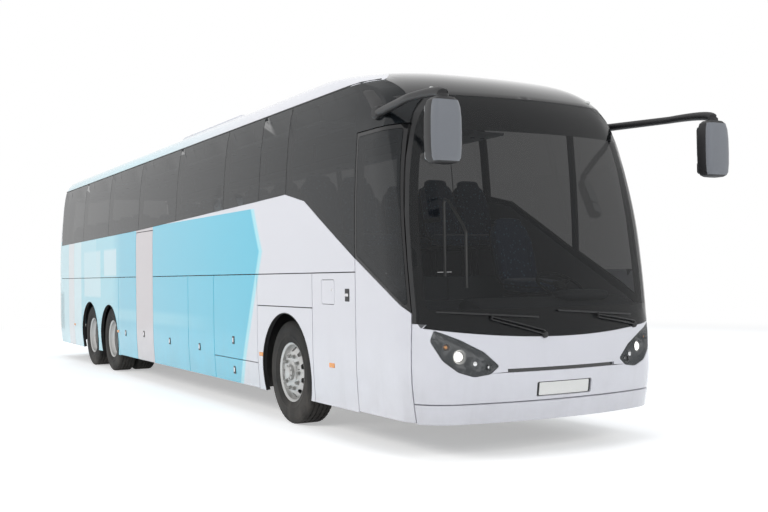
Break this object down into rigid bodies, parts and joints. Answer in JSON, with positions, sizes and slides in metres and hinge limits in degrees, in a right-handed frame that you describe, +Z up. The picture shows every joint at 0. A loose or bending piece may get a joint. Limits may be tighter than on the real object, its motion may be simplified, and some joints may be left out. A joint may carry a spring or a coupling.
{
  "type": "touring coach",
  "caption": "High-deck three-axle touring coach with bowed windscreen, dark side glass, luggage flaps, two swing-out doors and hanging mirrors.",
  "frame": {"origin": "centre of the bounding box at the ground the tyres stand on", "axes": "+X forward along the coach, +Y to its left, +Z up"},
  "size_m": [14.5948, 3.05, 3.615],
  "materials": {
    "body_paint": "gloss coat in silver white and cyan",
    "tinted_glass": "dark tinted",
    "black_plastic": "satin",
    "lamp_lens": "clear lens",
    "cover_plastic": "satin",
    "floor_covering": "ribbed mat",
    "seat_fabric": "woven",
    "rack_plastic": "matte",
    "chassis_paint": "matte black coat",
    "engine_iron": "cast",
    "tyre_rubber": "matte",
    "wheel_steel": "silver coat"
  },
  "bodies": {
    "coach_body": {"side_wall_right": "body_paint", "side_wall_left": "body_paint", "roof_shell": "body_paint", "front_bumper": "body_paint", "front_mask": "body_paint", "rear_panel": "body_paint", "rear_bumper": "body_paint", "windscreen": "tinted_glass", "side_glass": "tinted_glass", "rear_window": "tinted_glass", "window_pillars": "black_plastic", "passenger_deck": "floor_covering", "driver_platform": "floor_covering", "entry_stairs": "floor_covering", "middle_stairs": "floor_covering", "underframe": "chassis_paint", "wheel_housings": "black_plastic", "front_axle": "chassis_paint", "drive_axle": "chassis_paint", "tag_axle": "chassis_paint", "engine_block": "engine_iron", "dashboard": "black_plastic", "steering_wheel": "black_plastic", "driver_seat": "seat_fabric", "passenger_seats": "seat_fabric", "luggage_racks": "rack_plastic", "lamp_units": "lamp_lens", "mirrors": "black_plastic", "roof_conditioner": "cover_plastic"},
    "steering_left": {"knuckle_left": "chassis_paint"},
    "steering_right": {"knuckle_right": "chassis_paint"},
    "wheel_front_left": {"tyre_front_left": "tyre_rubber", "rim_front_left": "wheel_steel"},
    "wheel_front_right": {"tyre_front_right": "tyre_rubber", "rim_front_right": "wheel_steel"},
    "wheel_drive_left": {"tyre_drive_left": "tyre_rubber", "rim_drive_left": "wheel_steel"},
    "wheel_drive_right": {"tyre_drive_right": "tyre_rubber", "rim_drive_right": "wheel_steel"},
    "wheel_tag_left": {"tyre_tag_left": "tyre_rubber", "rim_tag_left": "wheel_steel"},
    "wheel_tag_right": {"tyre_tag_right": "tyre_rubber", "rim_tag_right": "wheel_steel"},
    "entry_arm": {"entry_door_arm": "chassis_paint"},
    "entry_door": {"entry_door": "body_paint", "entry_door_glass": "tinted_glass"},
    "middle_arm": {"middle_door_arm": "chassis_paint"},
    "middle_door": {"middle_door": "body_paint"},
    "luggage_flap_right_1": {"luggage_flap_right_1": "body_paint"},
    "luggage_flap_right_2": {"luggage_flap_right_2": "body_paint"},
    "luggage_flap_right_3": {"luggage_flap_right_3": "body_paint"},
    "luggage_flap_right_4": {"luggage_flap_right_4": "body_paint"},
    "luggage_flap_left_1": {"luggage_flap_left_1": "body_paint"},
    "luggage_flap_left_2": {"luggage_flap_left_2": "body_paint"},
    "luggage_flap_left_3": {"luggage_flap_left_3": "body_paint"},
    "engine_lid": {"engine_lid": "body_paint"}
  },
  "joints": [
    {"name": "steer_left", "type": "hinge", "parent": "coach_body", "child": "steering_left", "pos_m": [4.0075, 0.905, 0.522], "axis": [0, 0, 1], "range_deg": [-45, 45]},
    {"name": "steer_right", "type": "hinge", "parent": "coach_body", "child": "steering_right", "pos_m": [4.0075, -0.905, 0.522], "axis": [0, 0, 1], "range_deg": [-45, 45]},
    {"name": "spin_front_left", "type": "hinge", "parent": "steering_left", "child": "wheel_front_left", "pos_m": [4.0075, 1.078, 0.522], "axis": [0, 1, 0], "continuous": true},
    {"name": "spin_front_right", "type": "hinge", "parent": "steering_right", "child": "wheel_front_right", "pos_m": [4.0075, -1.078, 0.522], "axis": [0, 1, 0], "continuous": true},
    {"name": "spin_drive_left", "type": "hinge", "parent": "coach_body", "child": "wheel_drive_left", "pos_m": [-3.1825, 1.078, 0.522], "axis": [0, 1, 0], "continuous": true},
    {"name": "spin_drive_right", "type": "hinge", "parent": "coach_body", "child": "wheel_drive_right", "pos_m": [-3.1825, -1.078, 0.522], "axis": [0, 1, 0], "continuous": true},
    {"name": "spin_tag_left", "type": "hinge", "parent": "coach_body", "child": "wheel_tag_left", "pos_m": [-4.5325, 1.078, 0.522], "axis": [0, 1, 0], "continuous": true},
    {"name": "spin_tag_right", "type": "hinge", "parent": "coach_body", "child": "wheel_tag_right", "pos_m": [-4.5325, -1.078, 0.522], "axis": [0, 1, 0], "continuous": true},
    {"name": "entry_door_swing", "type": "hinge", "parent": "coach_body", "child": "entry_arm", "pos_m": [6.3725, -1.125, 0.5], "axis": [0, 0, -1], "range_deg": [-115, 0]},
    {"name": "entry_door_level", "type": "hinge", "parent": "entry_arm", "child": "entry_door", "pos_m": [5.7725, -1.125, 0.5], "axis": [0, 0, -1], "range_deg": [0, 115]},
    {"name": "middle_door_swing", "type": "hinge", "parent": "coach_body", "child": "middle_arm", "pos_m": [-0.7525, -1.125, 0.5], "axis": [0, 0, -1], "range_deg": [-115, 0]},
    {"name": "middle_door_level", "type": "hinge", "parent": "middle_arm", "child": "middle_door", "pos_m": [-1.3525, -1.125, 0.5], "axis": [0, 0, -1], "range_deg": [0, 115]},
    {"name": "luggage_flap_right_1_lift", "type": "hinge", "parent": "coach_body", "child": "luggage_flap_right_1", "pos_m": [2.5775, -1.275, 1.52], "axis": [-1, 0, 0], "range_deg": [0, 92]},
    {"name": "luggage_flap_right_2_lift", "type": "hinge", "parent": "coach_body", "child": "luggage_flap_right_2", "pos_m": [1.4025, -1.275, 1.52], "axis": [-1, 0, 0], "range_deg": [0, 92]},
    {"name": "luggage_flap_right_3_lift", "type": "hinge", "parent": "coach_body", "child": "luggage_flap_right_3", "pos_m": [0.1325, -1.275, 1.52], "axis": [-1, 0, 0], "range_deg": [0, 92]},
    {"name": "luggage_flap_right_4_lift", "type": "hinge", "parent": "coach_body", "child": "luggage_flap_right_4", "pos_m": [-2.0475, -1.275, 1.52], "axis": [-1, 0, 0], "range_deg": [0, 92]},
    {"name": "luggage_flap_left_1_lift", "type": "hinge", "parent": "coach_body", "child": "luggage_flap_left_1", "pos_m": [2.2975, 1.275, 1.52], "axis": [1, 0, 0], "range_deg": [0, 92]},
    {"name": "luggage_flap_left_2_lift", "type": "hinge", "parent": "coach_body", "child": "luggage_flap_left_2", "pos_m": [0.3575, 1.275, 1.52], "axis": [1, 0, 0], "range_deg": [0, 92]},
    {"name": "luggage_flap_left_3_lift", "type": "hinge", "parent": "coach_body", "child": "luggage_flap_left_3", "pos_m": [-1.5875, 1.275, 1.52], "axis": [1, 0, 0], "range_deg": [0, 92]},
    {"name": "engine_lid_lift", "type": "hinge", "parent": "coach_body", "child": "engine_lid", "pos_m": [-7.2815, 0, 1.62], "axis": [0, 1, 0], "range_deg": [0, 85]}
  ],
  "couplings": [
    {"joint": "steer_right", "follows": "steer_left", "ratio": 1},
    {"joint": "entry_door_level", "follows": "entry_door_swing", "ratio": -1},
    {"joint": "middle_door_level", "follows": "middle_door_swing", "ratio": -1}
  ]
}
